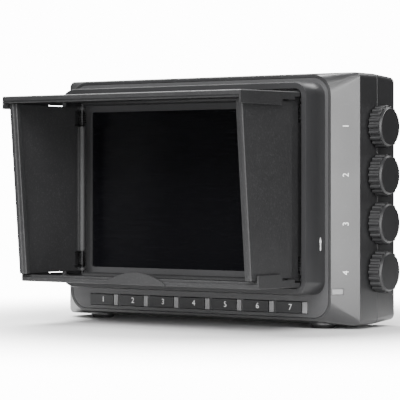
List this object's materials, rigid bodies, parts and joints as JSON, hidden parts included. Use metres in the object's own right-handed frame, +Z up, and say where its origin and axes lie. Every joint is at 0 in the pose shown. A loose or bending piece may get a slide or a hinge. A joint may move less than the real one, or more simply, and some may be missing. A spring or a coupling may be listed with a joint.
{
  "type": "camera field monitor",
  "caption": "Field monitor with a flat display, a row of keys, side knobs and a folding sun hood of hinged leaves on a lift-off ring.",
  "frame": {"origin": "centre of the mouth of the tripod thread in the underside", "axes": "+Z up, -Y the way the display faces, +X towards the knobs"},
  "size_m": [0.1507, 0.0904, 0.1009],
  "materials": {
    "case": "fine matt texture, charcoal",
    "panel": "fine matt texture, charcoal",
    "hood": "fine matt texture, dark charcoal",
    "ring": "satin, dark charcoal",
    "key": "matt grey",
    "knob": "matt cap with satin ribs",
    "light": "frosted clear",
    "window": "clear, glossy",
    "display": "near black, glossy",
    "board": "green circuit board",
    "steel": "bright",
    "socket": "black moulding",
    "contact": "plated",
    "insert": "turned",
    "latch": "red, fine matt",
    "foot": "black, matt"
  },
  "bodies": {
    "monitor_body": {"front_housing": "case", "rear_cover": "case", "front_panel": "panel", "display_window": "window", "lcd_panel": "display", "lcd_bracket": "steel", "main_board": "board", "key_board": "board", "knob_board": "board", "knob_controls": "steel", "key_light_pipes": "light", "power_light_pipe": "light", "hdmi_socket": "steel", "video_socket": "socket", "headphone_socket": "socket", "power_socket": "socket", "speaker": "socket", "battery_plate": "socket", "battery_contacts": "contact", "tripod_insert": "insert", "case_screws": "steel", "rubber_feet": "foot"},
    "hood_ring": {"hood_frame": "ring", "top_hinge_pin": "steel", "bottom_hinge_pin": "steel", "left_hinge_pin": "steel", "right_hinge_pin": "steel", "left_upper_spring": "steel", "left_lower_spring": "steel", "right_upper_spring": "steel", "right_lower_spring": "steel"},
    "hood_top": {"top_leaf": "hood"},
    "hood_bottom": {"bottom_leaf": "hood"},
    "hood_left": {"left_leaf": "hood"},
    "hood_right": {"right_leaf": "hood"},
    "push_1": {"push_plunger_1": "steel"},
    "push_3": {"push_plunger_3": "steel"},
    "push_4": {"push_plunger_4": "steel"},
    "dial_1": {"knob_1": "knob", "knob_shaft_1": "steel"},
    "dial_2": {"knob_2": "knob", "knob_shaft_2": "steel"},
    "dial_3": {"knob_3": "knob", "knob_shaft_3": "steel"},
    "dial_4": {"knob_4": "knob", "knob_shaft_4": "steel"},
    "key_1": {"key_1": "key"},
    "key_2": {"key_2": "key"},
    "key_3": {"key_3": "key"},
    "key_4": {"key_4": "key"},
    "key_5": {"key_5": "key"},
    "key_6": {"key_6": "key"},
    "key_7": {"key_7": "key"},
    "latch": {"battery_latch": "latch"}
  },
  "joints": [
    {"name": "hood_lift", "type": "slide", "parent": "monitor_body", "child": "hood_ring", "axis": [0, 0, 1], "range_m": [0, 0.0022]},
    {"name": "top_leaf_hinge", "type": "hinge", "parent": "hood_ring", "child": "hood_top", "pos_m": [0, -0.0251, 0.08965], "axis": [-1, 0, 0], "range_deg": [-1.5, 12]},
    {"name": "bottom_leaf_hinge", "type": "hinge", "parent": "hood_ring", "child": "hood_bottom", "pos_m": [0, -0.0251, 0.0171], "axis": [1, 0, 0], "range_deg": [-0.5, 12]},
    {"name": "left_leaf_hinge", "type": "hinge", "parent": "hood_ring", "child": "hood_left", "pos_m": [-0.0542, -0.0212, 0.0534], "axis": [0, 0, 1], "range_deg": [0, 88], "stiffness_Nm_per_rad": 0.002, "springref_deg": -22.92, "deforming": ["left_upper_spring", "left_lower_spring"]},
    {"name": "right_leaf_hinge", "type": "hinge", "parent": "hood_ring", "child": "hood_right", "pos_m": [0.0542, -0.0212, 0.0534], "axis": [0, 0, -1], "range_deg": [0, 88], "stiffness_Nm_per_rad": 0.002, "springref_deg": -22.92, "deforming": ["right_upper_spring", "right_lower_spring"]},
    {"name": "knob_1_push", "type": "slide", "parent": "monitor_body", "child": "push_1", "axis": [-1, 0, 0], "range_m": [0, 0.0005], "stiffness_N_per_m": 3000, "springref_m": -0.0005},
    {"name": "knob_1_turn", "type": "hinge", "parent": "push_1", "child": "dial_1", "pos_m": [0.073, 0.007, 0.07815], "axis": [1, 0, 0], "continuous": true},
    {"name": "knob_2_turn", "type": "hinge", "parent": "monitor_body", "child": "dial_2", "pos_m": [0.073, 0.007, 0.05905], "axis": [1, 0, 0], "range_deg": [-140, 140]},
    {"name": "knob_3_push", "type": "slide", "parent": "monitor_body", "child": "push_3", "axis": [-1, 0, 0], "range_m": [0, 0.0005], "stiffness_N_per_m": 3000, "springref_m": -0.0005},
    {"name": "knob_3_turn", "type": "hinge", "parent": "push_3", "child": "dial_3", "pos_m": [0.073, 0.007, 0.03995], "axis": [1, 0, 0], "range_deg": [-140, 140]},
    {"name": "knob_4_push", "type": "slide", "parent": "monitor_body", "child": "push_4", "axis": [-1, 0, 0], "range_m": [0, 0.0005], "stiffness_N_per_m": 3000, "springref_m": -0.0005},
    {"name": "knob_4_turn", "type": "hinge", "parent": "push_4", "child": "dial_4", "pos_m": [0.073, 0.007, 0.02085], "axis": [1, 0, 0], "range_deg": [-140, 140]},
    {"name": "key_1_press", "type": "slide", "parent": "monitor_body", "child": "key_1", "axis": [0, 1, 0], "range_m": [0, 0.0005], "stiffness_N_per_m": 400, "springref_m": -0.001},
    {"name": "key_2_press", "type": "slide", "parent": "monitor_body", "child": "key_2", "axis": [0, 1, 0], "range_m": [0, 0.0005], "stiffness_N_per_m": 400, "springref_m": -0.001},
    {"name": "key_3_press", "type": "slide", "parent": "monitor_body", "child": "key_3", "axis": [0, 1, 0], "range_m": [0, 0.0005], "stiffness_N_per_m": 400, "springref_m": -0.001},
    {"name": "key_4_press", "type": "slide", "parent": "monitor_body", "child": "key_4", "axis": [0, 1, 0], "range_m": [0, 0.0005], "stiffness_N_per_m": 400, "springref_m": -0.001},
    {"name": "key_5_press", "type": "slide", "parent": "monitor_body", "child": "key_5", "axis": [0, 1, 0], "range_m": [0, 0.0005], "stiffness_N_per_m": 400, "springref_m": -0.001},
    {"name": "key_6_press", "type": "slide", "parent": "monitor_body", "child": "key_6", "axis": [0, 1, 0], "range_m": [0, 0.0005], "stiffness_N_per_m": 400, "springref_m": -0.001},
    {"name": "key_7_press", "type": "slide", "parent": "monitor_body", "child": "key_7", "axis": [0, 1, 0], "range_m": [0, 0.0005], "stiffness_N_per_m": 400, "springref_m": -0.001},
    {"name": "battery_latch_slide", "type": "slide", "parent": "monitor_body", "child": "latch", "axis": [0, 0, 1], "range_m": [0, 0.003], "stiffness_N_per_m": 200, "springref_m": -0.002}
  ]
}
